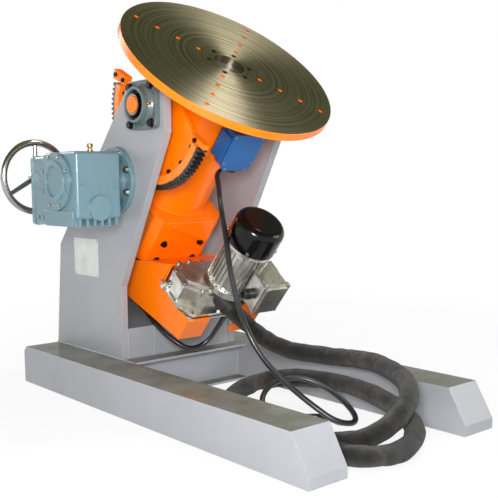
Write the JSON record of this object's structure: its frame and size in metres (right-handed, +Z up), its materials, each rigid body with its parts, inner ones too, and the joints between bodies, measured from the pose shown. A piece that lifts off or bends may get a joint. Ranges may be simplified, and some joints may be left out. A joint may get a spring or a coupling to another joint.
{
  "type": "welding positioner",
  "caption": "Welding positioner: a round slotted turntable on a tilting orange column, carried between two grey uprights on a two-legged base, with a hand tilt gearbox and a geared table motor.",
  "frame": {"origin": "middle of the front crossmember's underside, on the floor, halfway between the legs", "axes": "+X along the tilt axis, from the hand gearbox to the far upright; -Y towards the front ends of the legs, where the table faces; +Z up"},
  "size_m": [0.865, 1.4787, 1.2849],
  "materials": {
    "grey_paint": "semi-gloss",
    "orange_paint": "gloss",
    "teal_paint": "semi-gloss",
    "unit_paint": "semi-gloss",
    "blue_paint": "semi-gloss",
    "black_paint": "gloss",
    "table_steel": "machined",
    "steel": "satin",
    "black_steel": "oiled",
    "chrome_rim": "polished",
    "cast_aluminium": "cast",
    "brass_fitting": "satin",
    "black_rubber": "matt",
    "hose_cloth": "matt",
    "black_plastic": "matt",
    "greased_steel": "greased"
  },
  "bodies": {
    "base": {"leg_left": "grey_paint", "leg_right": "grey_paint", "crossmember": "grey_paint", "base_panels": "grey_paint", "upright_left": "grey_paint", "upright_right": "grey_paint", "bearing_units": "unit_paint", "bearing_inserts": "steel", "bearing_bolts": "black_steel", "oil_fittings": "brass_fitting", "label_plate": "steel", "drive_housing": "teal_paint", "drive_cover": "teal_paint", "drive_input_lid": "teal_paint", "drive_screws": "steel", "hose": "hose_cloth", "earth_cable": "black_rubber", "link_cable": "black_rubber"},
    "tilt_frame": {"tilt_column": "orange_paint", "cross_head": "orange_paint", "trunnion_shafts": "orange_paint", "tilt_sector_rim": "greased_steel", "tilt_sector_web": "orange_paint", "sector_stops": "orange_paint", "sector_screws": "black_steel", "upper_box": "orange_paint", "front_plate": "orange_paint", "front_plate_bolts": "black_steel", "side_plate_left": "orange_paint", "side_plate_right": "orange_paint", "arm_plates": "orange_paint", "arm_shelf": "steel", "spindle_bearings": "steel", "drive_belt": "black_rubber", "gm_housing": "cast_aluminium", "gm_cover": "cast_aluminium", "motor_screws": "steel", "motor_body": "cast_aluminium", "fan_cowl": "black_paint", "terminal_box": "cast_aluminium", "terminal_lid": "cast_aluminium", "cable_glands": "black_plastic", "collector_bracket": "blue_paint", "collector_box": "blue_paint", "collector_lid": "blue_paint", "hose_socket": "black_plastic"},
    "table": {"spindle": "steel", "spindle_pulley": "steel", "table_plate": "table_steel", "table_screws": "black_steel"},
    "drive_output": {"output_shaft": "steel", "pinion": "greased_steel", "worm_wheel": "brass_fitting"},
    "worm": {"worm_shaft": "steel", "worm_gear": "steel"},
    "hand_drive": {"hand_shaft": "steel", "hand_gear": "steel", "handwheel": "chrome_rim"},
    "belt_drive": {"drive_pulley": "steel"},
    "rotor": {"motor_rotor": "steel"}
  },
  "joints": [
    {"name": "tilt", "type": "hinge", "parent": "base", "child": "tilt_frame", "pos_m": [0, -0.132, 0.933], "axis": [1, 0, 0], "range_deg": [-40, 65], "deforming": ["hose", "earth_cable", "link_cable"]},
    {"name": "table_turn", "type": "hinge", "parent": "tilt_frame", "child": "table", "pos_m": [0, -0.132, 0.933], "axis": [0, -0.6428, 0.766], "continuous": true},
    {"name": "output_turn", "type": "hinge", "parent": "base", "child": "drive_output", "pos_m": [-0.3, 0.0438, 0.70868], "axis": [1, 0, 0], "range_deg": [-464.79, 286.21]},
    {"name": "worm_turn", "type": "hinge", "parent": "base", "child": "worm", "pos_m": [-0.373, 0.068, 0.62868], "axis": [0, 1, 0], "range_deg": [-4643.36, 2857.64]},
    {"name": "hand_turn", "type": "hinge", "parent": "base", "child": "hand_drive", "pos_m": [-0.373, 0.268, 0.72318], "axis": [0, 1, 0], "range_deg": [-2286.21, 3714.79]},
    {"name": "belt_turn", "type": "hinge", "parent": "tilt_frame", "child": "belt_drive", "pos_m": [-0.084, -0.09557, 0.31086], "axis": [0, -0.6428, 0.766], "continuous": true},
    {"name": "rotor_turn", "type": "hinge", "parent": "tilt_frame", "child": "rotor", "pos_m": [0, -0.29304, 0.47152], "axis": [0, -0.6428, 0.766], "continuous": true}
  ],
  "couplings": [
    {"joint": "output_turn", "follows": "tilt", "ratio": -7.1429},
    {"joint": "worm_turn", "follows": "tilt", "ratio": -71.429},
    {"joint": "hand_turn", "follows": "tilt", "ratio": 57.143},
    {"joint": "belt_turn", "follows": "table_turn", "ratio": 3.0556},
    {"joint": "rotor_turn", "follows": "table_turn", "ratio": 30.556}
  ]
}
